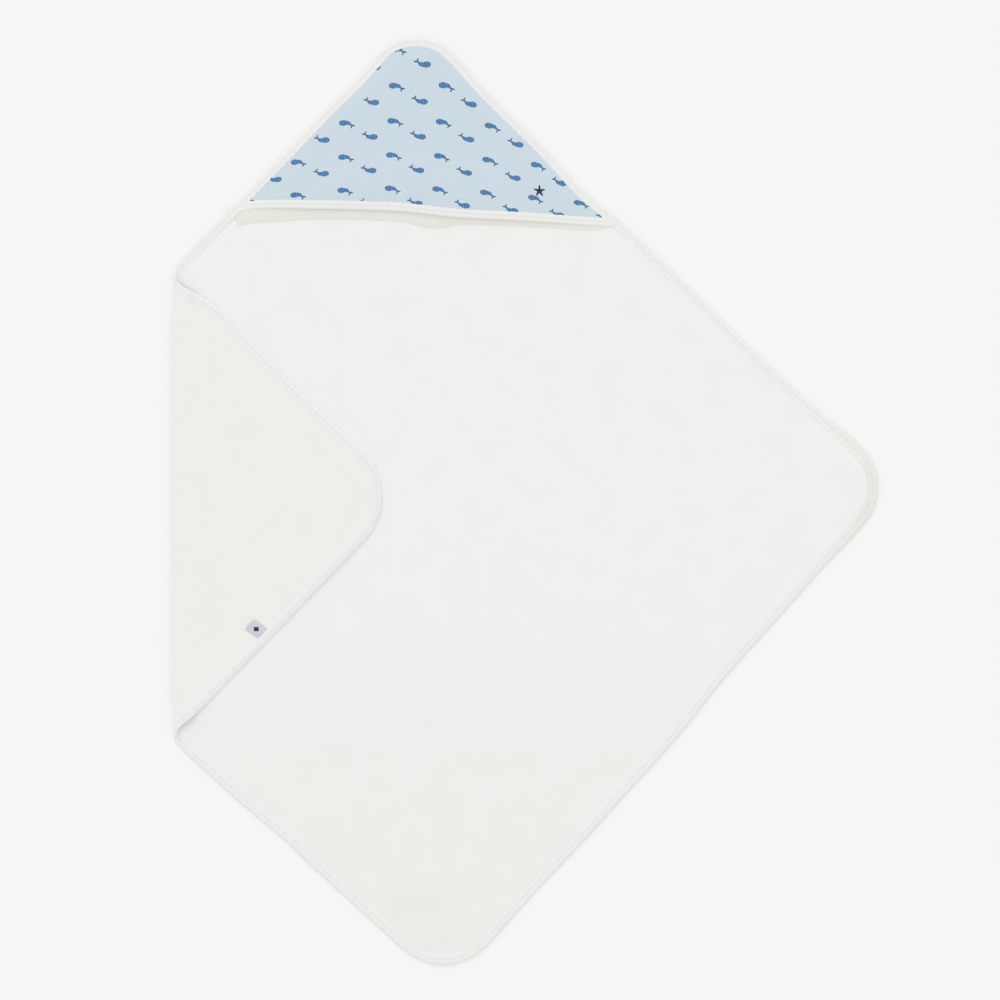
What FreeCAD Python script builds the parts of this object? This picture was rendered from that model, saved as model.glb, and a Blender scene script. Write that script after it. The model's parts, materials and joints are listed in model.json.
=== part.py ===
import FreeCAD, Part
import Sketcher
import math
import os

# Hooded baby towel, laid flat with its left corner folded back over its face.
#
# Millimetres, +Z up.  The towel lies in the XY plane on its underside, with the origin
# on that plane, in the middle of the laid towel's length and width.  The hood is at +Y and
# the fold is at -X.
#
# Four bodies: the towel, its folded corner, the hood and the sewn-in label.

DIMENSIONS = [
    # The cut square as it lies: sharp corners, before rounding, and their radii
    ("hood_corner_x", -124.0),
    ("hood_corner_y", 528.0),
    ("hood_corner_radius", 52.0),
    ("right_corner_x", 405.5),
    ("right_corner_y", 16.0),
    ("right_corner_radius", 49.0),
    ("bottom_corner_x", -83.5),
    ("bottom_corner_y", -535.0),
    ("bottom_corner_radius", 69.0),
    ("left_corner_x", -651.3),
    ("left_corner_y", -25.2),
    ("left_corner_radius", 70.0),
    # The fold and the corner that is turned over it
    ("fold_line_x", -386.6),
    ("fold_top_y", 252.2),
    ("fold_bottom_y", -262.7),
    ("fold_inner_radius", 1.5),
    ("fold_gap", 0.4),
    ("flap_tip_x", -126.0),
    ("flap_tip_y", 6.0),
    ("flap_tip_radius", 70.0),
    ("flap_overrun", 60.0),
    # Cloth and edge tape
    ("cloth_thickness", 3.0),
    ("tape_width", 10.0),
    ("tape_wall", 0.9),
    ("tape_edge_wall", 1.2),
    ("thread_width", 0.8),
    ("thread_depth", 0.3),
    # Hood
    ("mouth_left_x", -340.0),
    ("mouth_left_y", 309.0),
    ("mouth_right_x", 115.0),
    ("mouth_right_y", 296.0),
    ("mouth_radius", 1740.0),
    ("hood_side_gap", 0.4),
    ("hood_lift_gap", 0.3),
    ("hood_rest_angle", 2.4),
    ("lining_thickness", 1.4),
    ("print_thickness", 0.8),
    ("seam_margin_thickness", 0.5),
    ("hem_width", 9.3),
    ("hem_wall", 0.4),
    ("hem_edge_wall", 0.8),
    ("emblem_x", 16.8),
    ("emblem_y", 339.0),
    ("emblem_radius", 6.8),
    ("emblem_disc_radius", 2.5),
    ("emblem_arm_half_width", 1.5),
    ("emblem_thickness", 0.6),
    # Label, sewn into the folded corner's lower seam
    ("label_from_tip", 220.6),
    ("label_width", 14.0),
    ("label_length", 17.0),
    ("label_thickness", 0.6),
    ("label_gap", 0.3),
    ("motif_radius", 3.6),
    ("motif_thickness", 0.2),
]

EMBLEM_ARMS = 5
MOTIF_SIDES = 4

doc = FreeCAD.newDocument("HoodedTowel")
sheet = doc.addObject("Spreadsheet::Sheet", "Dimensions")
for row, (alias, value) in enumerate(DIMENSIONS, start=1):
    sheet.set("A%d" % row, alias)
    sheet.set("B%d" % row, str(value))
    sheet.setAlias("B%d" % row, alias)
doc.recompute()


def size(expression):
    """The number that an expression of the sheet's dimensions comes to."""
    return float(sheet.evalExpression(expression))


def dim(alias):
    """A dimension as another object's expression writes it."""
    return "Dimensions." + alias


# Heights and lines that several pieces share, as expressions
FOLD_HEIGHT = "(%s + %s)" % (dim("cloth_thickness"), dim("fold_inner_radius"))
FOLD_CENTRE_X = "(%s + %s)" % (dim("fold_line_x"), FOLD_HEIGHT)
HOOD_THICKNESS = "(%s + %s)" % (dim("lining_thickness"), dim("print_thickness"))
HALF_GAP = "%s / 2" % dim("fold_gap")
# Longer than the towel, for the solids that it is cut from
FAR = 1200.0


def bind(thing, **expressions):
    """Bind properties to expressions; a double underscore stands for the dot in a path."""
    for path, expression in expressions.items():
        thing.setExpression(path.replace("__", "."), expression)
    return thing


def corner_point(sketch, corner):
    """A corner's place, from its two expressions."""
    return FreeCAD.Vector(sketch.evalExpression(corner["x"]), sketch.evalExpression(corner["y"]), 0)


def bind_constraint(sketch, constraint, expression):
    """Add a constraint whose value is bound to an expression."""
    sketch.setExpression("Constraints[%d]" % sketch.addConstraint(constraint), expression)


def fix_place(sketch, geometry, position, corner):
    """Hold a point of the sketch at its corner's place."""
    place = corner_point(sketch, corner)
    across = Sketcher.Constraint("DistanceX", -1, 1, geometry, position, place.x)
    up = Sketcher.Constraint("DistanceY", -1, 1, geometry, position, place.y)
    bind_constraint(sketch, across, corner["x"])
    bind_constraint(sketch, up, corner["y"])


def corner_directions(points, index):
    """Unit directions from a corner towards the corners before and after it."""
    point = points[index]
    before = (points[index - 1] - point).normalize()
    after = (points[(index + 1) % len(points)] - point).normalize()
    return before, after


def move_along_bisector(points, index, distance):
    """A corner moved inwards until it is a distance from both of its sides."""
    before, after = corner_directions(points, index)
    half_angle = before.getAngle(after) / 2
    return points[index] + (before + after).normalize() * (distance / math.sin(half_angle))


def corner_arc(points, index, radius):
    """The arc of this radius that is tangent to both sides of a corner, and its two ends."""
    before, after = corner_directions(points, index)
    reach = radius / math.tan(before.getAngle(after) / 2)
    start = points[index] + before * reach
    end = points[index] + after * reach
    circle = Part.Circle(move_along_bisector(points, index, radius), FreeCAD.Vector(0, 0, 1), radius)
    return Part.ArcOfCircle(circle, circle.parameter(start), circle.parameter(end)), start, end


def rounded_outline(label, corners, inset="0"):
    """A closed outline on the XY plane, anticlockwise, taken in by an inset from its sharp corners' lines.

    A corner with a radius is turned by an arc that is tangent to both sides; the others stay sharp.
    """
    sketch = doc.addObject("Sketcher::SketchObject", label)
    depth = sketch.evalExpression(inset)
    count = len(corners)
    outer = [corner_point(sketch, corner) for corner in corners]
    guides = [sketch.addGeometry(Part.LineSegment(outer[index], outer[(index + 1) % count]), True)
              for index in range(count)]
    for index, corner in enumerate(corners):
        sketch.addConstraint(Sketcher.Constraint("Coincident", guides[index - 1], 2, guides[index], 1))
        fix_place(sketch, guides[index], 1, corner)

    inner = [move_along_bisector(outer, index, depth) for index in range(count)]
    radii = [sketch.evalExpression(corner["radius"]) - depth if "radius" in corner else 0
             for corner in corners]
    turns = [corner_arc(inner, index, radii[index]) if radii[index] else (None, inner[index], inner[index])
             for index in range(count)]
    sides = [sketch.addGeometry(Part.LineSegment(turns[index][2], turns[(index + 1) % count][1]), False)
             for index in range(count)]
    for index, corner in enumerate(corners):
        before, after = sides[index - 1], sides[index]
        arc_shape = turns[index][0]
        if arc_shape is None:
            sketch.addConstraint(Sketcher.Constraint("Coincident", before, 2, after, 1))
            place = (after, 1)
        else:
            arc = sketch.addGeometry(arc_shape, False)
            sketch.addConstraint(Sketcher.Constraint("Tangent", before, 2, arc, 1))
            sketch.addConstraint(Sketcher.Constraint("Tangent", arc, 2, after, 1))
            radius = Sketcher.Constraint("Radius", arc, arc_shape.Radius)
            bind_constraint(sketch, radius, "%s - (%s)" % (corner["radius"], inset))
            place = (sketch.addGeometry(Part.Point(inner[index]), True), 1)
            sketch.addConstraint(Sketcher.Constraint("PointOnObject", *place, before))
            sketch.addConstraint(Sketcher.Constraint("PointOnObject", *place, after))
        for guide in (guides[index - 1], guides[index]):
            if depth:
                bind_constraint(sketch, Sketcher.Constraint("Distance", *place, guide, depth), inset)
            else:
                sketch.addConstraint(Sketcher.Constraint("PointOnObject", *place, guide))
    return sketch


def named_corner(name):
    """A rounded corner of the cut square."""
    return {"x": dim(name + "_x"), "y": dim(name + "_y"), "radius": dim(name + "_radius")}


def prism(outline, low, high, label):
    """The upright solid over an outline, from one height to another."""
    solid = doc.addObject("Part::Extrusion", label)
    solid.Base = outline
    solid.DirMode = "Custom"
    solid.Dir = FreeCAD.Vector(0, 0, 1)
    solid.Solid = True
    bind(solid, LengthFwd="((%s) - (%s)) * 1mm" % (high, low), Placement__Base__z="(%s) * 1mm" % low)
    return solid


def combine(kind, label, *pieces):
    """A boolean of the pieces: Part::Cut of two, or Part::MultiFuse or Part::MultiCommon of any number."""
    result = doc.addObject(kind, label)
    if kind == "Part::Cut":
        result.Base, result.Tool = pieces
    else:
        result.Shapes = list(pieces)
    return result


def rolled_slab(depth, label):
    """The space inside the folded cloth's outer skin, taken in by a depth: a slab with a round nose."""
    slab = doc.addObject("Part::Box", label + "_slab")
    slab.Length, slab.Width = FAR, 2 * FAR
    slab.Placement.Base.y = -FAR
    height = "(%s - (%s))" % (FOLD_HEIGHT, depth)
    bind(slab, Height="2 * %s * 1mm" % height, Placement__Base__x=FOLD_CENTRE_X + " * 1mm",
         Placement__Base__z="(%s) * 1mm" % depth)
    nose = doc.addObject("Part::Cylinder", label + "_nose")
    nose.Height = 2 * FAR
    nose.Placement.Rotation = FreeCAD.Rotation(FreeCAD.Vector(1, 0, 0), -90)
    nose.Placement.Base.y = -FAR
    bind(nose, Radius=height + " * 1mm", Placement__Base__x=FOLD_CENTRE_X + " * 1mm",
         Placement__Base__z=FOLD_HEIGHT + " * 1mm")
    return combine("Part::MultiFuse", label, slab, nose)


def folded_layer(outer_depth, inner_depth, label):
    """A sheet between two depths from the outer skin, running flat, round the fold and back on top."""
    outside = rolled_slab(outer_depth, label + "_outside")
    inside = rolled_slab(inner_depth, label + "_inside")
    return combine("Part::Cut", label, outside, inside)


def bound_cloth(name, corners, low, high, thread_layer, layers):
    """The pieces of one side of the fold, as solids that meet face to face.

    The tape is folded over the panel's pressed edge, and the stitch row lies sunk along the
    middle of the tape's upper face.  The result also has the space inside the tape, and the
    outline of the panel's pressed edge.
    """
    full = prism(rounded_outline(name + "_edge", corners), low, high, name + "_full")
    inner_outline = rounded_outline(name + "_tape_inner", corners, dim("tape_width"))
    inner = prism(inner_outline, low, high, name + "_inner")
    pressed_outline = rounded_outline(name + "_lip_edge", corners, dim("tape_edge_wall"))
    pressed = prism(pressed_outline, low, high, name + "_pressed")
    core = combine("Part::MultiCommon", name + "_core", layers["cloth"], inner)
    lip = combine("Part::MultiCommon", name + "_lip", layers["lip"], pressed)
    panel = combine("Part::MultiFuse", name + "_panel_whole", core, lip)

    row_starts = "(%s - %s) / 2" % (dim("tape_width"), dim("thread_width"))
    row_ends = "(%s + %s) / 2" % (dim("tape_width"), dim("thread_width"))
    outer_row = rounded_outline(name + "_row_outer", corners, row_starts)
    inner_row = rounded_outline(name + "_row_inner", corners, row_ends)
    row_band = combine("Part::Cut", name + "_row_band", prism(outer_row, low, high, name + "_row_out"),
                       prism(inner_row, low, high, name + "_row_in"))
    thread = combine("Part::MultiCommon", name + "_thread", layers[thread_layer], row_band)

    sheet_full = combine("Part::MultiCommon", name + "_sheet", layers["cloth"], full)
    around = combine("Part::Cut", name + "_around_panel", sheet_full, panel)
    tape = combine("Part::Cut", name + "_tape", around, thread)
    return {"panel": panel, "tape": tape, "thread": thread, "inner": inner,
            "pressed_outline": pressed_outline}


# ---- Outlines -------------------------------------------------------------------------------
towel_corners = [
    named_corner("hood_corner"),
    named_corner("left_corner"),
    named_corner("bottom_corner"),
    named_corner("right_corner"),
]


def flap_side_y(fold_end):
    """Height in Y of a flap side's far end, where the side is run on past the fold."""
    rise = "(%s - %s)" % (dim(fold_end), dim("flap_tip_y"))
    run = "(%s - %s)" % (dim("flap_tip_x"), dim("fold_line_x"))
    return "%s + %s * (1 + %s / %s)" % (dim("flap_tip_y"), rise, dim("flap_overrun"), run)


flap_far_x = "%s - %s" % (dim("fold_line_x"), dim("flap_overrun"))
flap_corners = [
    named_corner("flap_tip"),
    {"x": flap_far_x, "y": flap_side_y("fold_top_y")},
    {"x": flap_far_x, "y": flap_side_y("fold_bottom_y")},
]

# ---- Cloth layers that run round the fold ---------------------------------------------------
tape_inside = "%s - %s" % (dim("cloth_thickness"), dim("tape_wall"))
layers = {
    "cloth": folded_layer("0", dim("cloth_thickness"), "cloth_layer"),
    "lip": folded_layer(dim("tape_wall"), tape_inside, "lip_layer"),
    "face_thread": folded_layer("%s - %s" % (dim("cloth_thickness"), dim("thread_depth")),
                                dim("cloth_thickness"), "face_thread_layer"),
    "back_thread": folded_layer("0", dim("thread_depth"), "back_thread_layer"),
}

# ---- Towel body and folded corner -----------------------------------------------------------
below_gap = "%s - %s" % (FOLD_HEIGHT, HALF_GAP)
above_gap = "%s + %s" % (FOLD_HEIGHT, HALF_GAP)
main = bound_cloth("main", towel_corners, "0", below_gap, "face_thread", layers)
flap = bound_cloth("flap", flap_corners, above_gap, "2 * " + FOLD_HEIGHT, "back_thread", layers)


# ---- Hood -----------------------------------------------------------------------------------
def mouth_region(shift, label):
    """Everything on the hood's side of the mouth's curve, the curve moved towards the hood by a shift."""
    sketch = doc.addObject("Sketcher::SketchObject", label + "_outline")
    top = size("hood_corner_y + tape_width")
    left = FreeCAD.Vector(size("mouth_left_x"), size("mouth_left_y"), 0)
    right = FreeCAD.Vector(size("mouth_right_x"), size("mouth_right_y"), 0)
    radius = size("mouth_radius")
    chord = right - left
    depth = math.sqrt(radius ** 2 - (chord.Length / 2) ** 2)
    across = FreeCAD.Vector(chord.y, -chord.x, 0).normalize()
    circle = Part.Circle((left + right) / 2 + across * depth, FreeCAD.Vector(0, 0, 1), radius)
    bow = Part.ArcOfCircle(circle, circle.parameter(right), circle.parameter(left))
    arc = sketch.addGeometry(bow, False)
    corners = [left, FreeCAD.Vector(left.x, top, 0), FreeCAD.Vector(right.x, top, 0), right]
    sides = [sketch.addGeometry(Part.LineSegment(start, end), False)
             for start, end in zip(corners, corners[1:])]
    sketch.addConstraint(Sketcher.Constraint("Coincident", arc, 2, sides[0], 1))
    sketch.addConstraint(Sketcher.Constraint("Coincident", sides[0], 2, sides[1], 1))
    sketch.addConstraint(Sketcher.Constraint("Coincident", sides[1], 2, sides[2], 1))
    sketch.addConstraint(Sketcher.Constraint("Coincident", sides[2], 2, arc, 1))
    for side, direction in zip(sides, ("Vertical", "Horizontal", "Vertical")):
        sketch.addConstraint(Sketcher.Constraint(direction, side))
    bind_constraint(sketch, Sketcher.Constraint("Radius", arc, radius), dim("mouth_radius"))
    fix_place(sketch, arc, 2, {"x": dim("mouth_left_x"), "y": dim("mouth_left_y")})
    fix_place(sketch, arc, 1, {"x": dim("mouth_right_x"), "y": dim("mouth_right_y")})
    rise = Sketcher.Constraint("DistanceY", -1, 1, sides[1], 1, top)
    bind_constraint(sketch, rise, "%s + %s" % (dim("hood_corner_y"), dim("tape_width")))
    region = prism(sketch, "-" + dim("hem_width"), HOOD_THICKNESS + " + " + dim("hem_width"), label)
    return bind(region, Placement__Base__y="(%s) * 1mm" % shift)


def hood_slice(region, outline, low, high, label):
    """The part of a region inside the hood's outline, between two heights above the hood's underside."""
    return combine("Part::MultiCommon", label, region, prism(outline, low, high, label + "_prism"))


hood_inset = "%s + %s" % (dim("tape_width"), dim("hood_side_gap"))
hood_outline = rounded_outline("hood_outline", towel_corners, hood_inset)
mouth_edge = mouth_region("0", "mouth_edge")
cloth_edge = mouth_region(dim("hem_edge_wall"), "hood_cloth_edge")
hem_top = mouth_region(dim("hem_width"), "hem_top")

lining = hood_slice(cloth_edge, hood_outline, "0", dim("lining_thickness"), "lining")
print_cloth = hood_slice(cloth_edge, hood_outline, dim("lining_thickness"), HOOD_THICKNESS, "print_cloth")

hem_band = combine("Part::Cut", "hem_band", mouth_edge, hem_top)
hem_high = HOOD_THICKNESS + " + " + dim("hem_wall")
hem_solid = hood_slice(hem_band, hood_outline, "-" + dim("hem_wall"), hem_high, "hem_solid")
hem_contents = combine("Part::MultiFuse", "hem_contents", lining, print_cloth)
hem = combine("Part::Cut", "hem", hem_solid, hem_contents)

row_low = mouth_region("(%s - %s) / 2" % (dim("hem_width"), dim("thread_width")), "hem_row_low")
row_high = mouth_region("(%s + %s) / 2" % (dim("hem_width"), dim("thread_width")), "hem_row_high")
hem_row = combine("Part::Cut", "hem_row", row_low, row_high)
thread_high = hem_high + " + " + dim("thread_depth")
hem_thread = hood_slice(hem_row, hood_outline, hem_high, thread_high, "hem_thread")


def emblem_solid():
    """A five-armed starfish: a disc with long oval arms."""
    disc = doc.addObject("Part::Cylinder", "emblem_disc")
    bind(disc, Radius=dim("emblem_disc_radius") + " * 1mm", Height=dim("emblem_thickness") + " * 1mm")
    pieces = [disc]
    for number in range(EMBLEM_ARMS):
        oval = doc.addObject("Part::Ellipse", "emblem_oval_%d" % (number + 1))
        degrees = 90 + number * 360 / EMBLEM_ARMS
        angle = math.radians(degrees)
        oval.Placement.Rotation = FreeCAD.Rotation(FreeCAD.Vector(0, 0, 1), degrees)
        half = "%s / 2" % dim("emblem_radius")
        bind(oval, MajorRadius=half + " * 1mm", MinorRadius=dim("emblem_arm_half_width") + " * 1mm",
             Placement__Base__x="%s * %.9f * 1mm" % (half, math.cos(angle)),
             Placement__Base__y="%s * %.9f * 1mm" % (half, math.sin(angle)))
        pieces.append(prism(oval, "0", dim("emblem_thickness"), "emblem_arm_%d" % (number + 1)))
    return combine("Part::MultiFuse", "emblem", *pieces)


emblem = emblem_solid()

# ---- The hood's sewn-in margin, inside the edge tape of the hood's corner -------------------
margin_low = "%s - %s" % (tape_inside, dim("seam_margin_thickness"))
margin_sheet = combine("Part::Cut", "margin_sheet",
                       prism(main["pressed_outline"], margin_low, tape_inside, "margin_slab"),
                       main["inner"])
margin = combine("Part::MultiCommon", "margin", margin_sheet, mouth_edge)
towel_cloth = combine("Part::Cut", "towel_cloth", main["panel"], margin)

# ---- Label ----------------------------------------------------------------------------------
label_sheet = doc.addObject("Part::Box", "label_sheet")
bind(label_sheet, Length=dim("label_width") + " * 1mm", Width=dim("label_length") + " * 1mm",
     Height=dim("label_thickness") + " * 1mm", Placement__Base__x="-%s / 2 * 1mm" % dim("label_width"))
motif = doc.addObject("Part::Prism", "motif")
motif.Polygon = MOTIF_SIDES
bind(motif, Circumradius=dim("motif_radius") + " * 1mm", Height=dim("motif_thickness") + " * 1mm",
     Placement__Base__y="%s / 2 * 1mm" % dim("label_length"),
     Placement__Base__z=dim("label_thickness") + " * 1mm")

doc.recompute()


def hood_place():
    """The hood's place: raised clear of the towel and tilted open about its apex end."""
    apex = hood_outline.Shape.BoundBox.YMax
    hinge_z = size("cloth_thickness + hood_lift_gap")
    tilt = FreeCAD.Rotation(FreeCAD.Vector(-1, 0, 0), size("hood_rest_angle"))
    return FreeCAD.Placement(FreeCAD.Vector(0, 0, hinge_z), tilt, FreeCAD.Vector(0, apex, 0))


def label_place():
    """The label's place: its sewn end on the lower tape's inner edge, lying inwards on the corner."""
    tip = FreeCAD.Vector(size("flap_tip_x"), size("flap_tip_y"), 0)
    fold_end = FreeCAD.Vector(size("fold_line_x"), size("fold_bottom_y"), 0)
    along = (fold_end - tip).normalize()
    inwards = FreeCAD.Vector(along.y, -along.x, 0)
    base = tip + along * size("label_from_tip") + inwards * size("tape_width + label_gap")
    base.z = size("2 * (cloth_thickness + fold_inner_radius) + label_gap")
    turn = math.degrees(math.atan2(inwards.y, inwards.x)) - 90
    return FreeCAD.Placement(base, FreeCAD.Rotation(FreeCAD.Vector(0, 0, 1), turn))


def sub_part(source, label, place=FreeCAD.Placement()):
    """A finished piece: the source's solid under its own label, at its own place."""
    piece = doc.addObject("Part::Refine", label.title().replace("_", ""))
    piece.Source = source
    piece.Label = label
    piece.Placement = place
    return piece


hood_seat = hood_place()
label_seat = label_place()
emblem_lift = FreeCAD.Placement(
    FreeCAD.Vector(size("emblem_x"), size("emblem_y"), size("lining_thickness + print_thickness")),
    FreeCAD.Rotation())

SUB_PARTS = [
    sub_part(towel_cloth, "towel_panel"),
    sub_part(main["tape"], "edge_binding_main"),
    sub_part(main["thread"], "edge_topstitch_main"),
    sub_part(margin, "hood_seam_allowance"),
    sub_part(flap["panel"], "corner_flap_panel"),
    sub_part(flap["tape"], "edge_binding_flap"),
    sub_part(flap["thread"], "edge_topstitch_flap"),
    sub_part(print_cloth, "hood_print_panel", hood_seat),
    sub_part(lining, "hood_lining", hood_seat),
    sub_part(hem, "hood_hem_binding", hood_seat),
    sub_part(hem_thread, "hood_hem_topstitch", hood_seat),
    sub_part(emblem, "hood_emblem", hood_seat.multiply(emblem_lift)),
    sub_part(label_sheet, "woven_label", label_seat),
    sub_part(motif, "label_motif", label_seat),
]
doc.recompute()

# ---- Check and export -----------------------------------------------------------------------
for item in doc.Objects:
    if "Invalid" in item.State or "Error" in item.State:
        raise RuntimeError("%s did not recompute: %s" % (item.Label, item.State))
for piece in SUB_PARTS:
    if piece.Shape.isNull() or not piece.Shape.isValid():
        raise RuntimeError(piece.Label + " has no valid shape")

os.makedirs("parts", exist_ok=True)
for piece in SUB_PARTS:
    piece.Shape.exportStep("parts/%s.step" % piece.Label)
    box = piece.Shape.BoundBox
    print("%-22s solids %d  volume %9.0f  x %8.2f %8.2f  y %8.2f %8.2f  z %6.2f %6.2f" % (
        piece.Label, len(piece.Shape.Solids), piece.Shape.Volume,
        box.XMin, box.XMax, box.YMin, box.YMax, box.ZMin, box.ZMax))
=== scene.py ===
import json
import math

import bpy
import numpy as np
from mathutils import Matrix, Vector
from mathutils.geometry import delaunay_2d_cdt


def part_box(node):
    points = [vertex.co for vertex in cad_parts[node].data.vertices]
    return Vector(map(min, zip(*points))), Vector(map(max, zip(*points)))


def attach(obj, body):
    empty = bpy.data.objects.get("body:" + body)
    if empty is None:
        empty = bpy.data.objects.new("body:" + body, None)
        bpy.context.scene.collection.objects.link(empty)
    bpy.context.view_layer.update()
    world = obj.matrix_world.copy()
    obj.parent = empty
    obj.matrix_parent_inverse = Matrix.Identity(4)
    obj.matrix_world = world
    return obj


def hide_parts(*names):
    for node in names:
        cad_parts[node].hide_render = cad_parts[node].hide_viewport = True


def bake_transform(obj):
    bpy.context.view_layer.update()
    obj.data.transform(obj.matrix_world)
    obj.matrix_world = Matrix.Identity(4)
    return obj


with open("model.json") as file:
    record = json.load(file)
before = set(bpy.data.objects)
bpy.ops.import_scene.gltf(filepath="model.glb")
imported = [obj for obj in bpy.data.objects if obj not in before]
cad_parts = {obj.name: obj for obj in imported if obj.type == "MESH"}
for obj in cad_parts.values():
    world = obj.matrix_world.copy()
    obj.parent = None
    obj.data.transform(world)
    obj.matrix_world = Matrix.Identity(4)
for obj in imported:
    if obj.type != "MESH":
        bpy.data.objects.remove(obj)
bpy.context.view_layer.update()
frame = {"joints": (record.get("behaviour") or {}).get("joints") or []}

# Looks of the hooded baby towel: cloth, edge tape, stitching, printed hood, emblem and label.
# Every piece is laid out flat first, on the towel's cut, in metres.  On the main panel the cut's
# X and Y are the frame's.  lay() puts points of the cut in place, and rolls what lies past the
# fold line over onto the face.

MM = 0.001

# ---- The towel's cut shape, as it lies ----
HOOD_CORNER = (-0.1240, 0.5280)
RIGHT_CORNER = (0.4055, 0.0160)
BOTTOM_CORNER = (-0.0835, -0.5350)
FOLD_TOP = (-0.3868, 0.2522)
FOLD_BOTTOM = (-0.3868, -0.2627)
FLAP_TIP = (-0.1260, 0.0060)
TAPE_WIDTH = 10.0 * MM
CLOTH_THICKNESS = 2.3 * MM
CLOTH_EDGE_INSET = 3.0 * MM

# ---- The fold ----
FOLD_JOINT = next(joint for joint in frame["joints"] if joint["name"] == "corner_fold")
FOLD_HEIGHT = FOLD_JOINT["pos_m"][2]
CLOTH_Z = 1.5 * MM
FOLD_RADIUS = FOLD_HEIGHT - CLOTH_Z
FOLD_OUTER_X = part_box("towel_panel")[0].x
FOLD_START_X = FOLD_OUTER_X + FOLD_HEIGHT
FOLD_LENGTH = math.pi * FOLD_RADIUS
FLAP_Z = 4.65 * MM
SETTLE_LENGTH = 55 * MM
BLEND_SLOPE = 0.005

# The folded corner's tip on the cut, before it is turned over
CUT_TIP = (2 * FOLD_START_X - FOLD_LENGTH - FLAP_TIP[0], FLAP_TIP[1])

RIGHT_CORNER_RADIUS = 0.049

# Each corner of the cut and the radius of its round
CUT_CORNERS = [
    (HOOD_CORNER, 0.052),
    (FOLD_TOP, 0.300),
    (CUT_TIP, 0.070),
    (FOLD_BOTTOM, 0.300),
    (BOTTOM_CORNER, 0.069),
    (RIGHT_CORNER, RIGHT_CORNER_RADIUS),
]


# ---- Small mathematics ----
def smooth_step(value):
    """0 below 0, 1 above 1, and a smooth rise between."""
    clipped = np.clip(value, 0, 1)
    return clipped * clipped * (3 - 2 * clipped)


def bump(value):
    """A bell of height 1 about 0, down to a third at 1."""
    return np.exp(-value * value)


def unit(vector):
    """The vectors at length 1."""
    vector = np.asarray(vector, float)
    return vector / np.linalg.norm(vector, axis=-1, keepdims=True)


def left_of(vector):
    """Plan vectors turned a quarter to the left."""
    return np.stack([-vector[..., 1], vector[..., 0]], -1)


def edge_path(corners, step):
    """Points about a step apart round the outline, anticlockwise, with the unit vectors inwards.

    Each corner is turned by an arc that is tangent to both of its sides.
    """
    count = len(corners)
    sharp = np.array([corner[0] for corner in corners], float)
    runs = []
    for index in range(count):
        here = sharp[index]
        into = unit(here - sharp[index - 1])
        out = unit(sharp[(index + 1) % count] - here)
        turn = math.atan2(into[0] * out[1] - into[1] * out[0], into @ out)
        radius = corners[index][1]
        reach = radius * math.tan(abs(turn) / 2)
        heading = math.atan2(into[1], into[0])
        runs.append((here - into * reach, here + out * reach, heading, turn, radius))
    points, headings = [], []
    for index, (start, end, heading, turn, radius) in enumerate(runs):
        side = math.copysign(1.0, turn)
        centre = start + radius * side * np.array([-math.sin(heading), math.cos(heading)])
        pieces = max(2, int(round(radius * abs(turn) / step)))
        for angle in heading + turn * np.arange(pieces) / pieces:
            points.append(centre + radius * side * np.array([math.sin(angle), -math.cos(angle)]))
            headings.append(angle)
        next_start = runs[(index + 1) % count][0]
        pieces = max(1, int(round(np.linalg.norm(next_start - end) / step)))
        for share in np.arange(pieces) / pieces:
            points.append(end + (next_start - end) * share)
            headings.append(heading + turn)
    headings = np.array(headings)
    return np.array(points), np.stack([-np.sin(headings), np.cos(headings)], 1)


def line_distance(flat, first, second):
    """Signed distance of points from the line through two points, positive to its left."""
    along = unit(np.subtract(second, first))
    return (flat[:, 1] - first[1]) * along[0] - (flat[:, 0] - first[0]) * along[1]


# ---- How the cloth lies ----
# Soft folds and waves of the main panel: place, direction in degrees, length, width, height
WAVES = [
    ((0.165, 0.115), -4, 0.130, 0.012, 0.35),
    ((0.225, 0.075), -35, 0.050, 0.010, 0.35),
    ((0.120, 0.035), -20, 0.070, 0.012, 0.25),
    ((-0.140, -0.430), 25, 0.060, 0.014, 0.40),
    ((0.020, -0.300), -50, 0.180, 0.030, 0.25),
    ((0.240, -0.080), 48, 0.160, 0.026, 0.25),
    ((-0.220, 0.240), -12, 0.090, 0.016, 0.30),
    ((0.100, 0.240), -42, 0.140, 0.022, 0.30),
    ((-0.060, 0.060), 80, 0.160, 0.030, 0.20),
    ((-0.250, -0.340), -40, 0.090, 0.016, 0.30),
]
# Small bows and pulls of the edges in plan: place, shift in millimetres and reach
PULLS = [
    ((0.155, -0.262), (3.2, -2.9), 0.095),
    ((0.215, -0.195), (-1.5, 1.4), 0.050),
    ((0.060, -0.358), (1.7, -1.5), 0.060),
    ((-0.078, 0.488), (3.2, 3.4), 0.040),
    ((0.064, 0.343), (-2.4, -2.4), 0.040),
    ((0.362, 0.068), (3.6, 3.6), 0.045),
    ((0.365, -0.035), (2.0, -1.0), 0.035),
    ((0.250, 0.165), (-0.5, -0.5), 0.060),
    ((-0.185, 0.463), (1.6, -1.6), 0.035),
    ((-0.262, 0.380), (0.6, -0.6), 0.060),
    ((-0.3926, 0.2350), (4.0, 0.0), 0.022),
    ((-0.3926, -0.2500), (3.8, 2.0), 0.020),
    ((-0.262, -0.371), (1.4, 1.4), 0.030),
    ((-0.070, -0.525), (-2.6, -2.6), 0.050),
]
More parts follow.
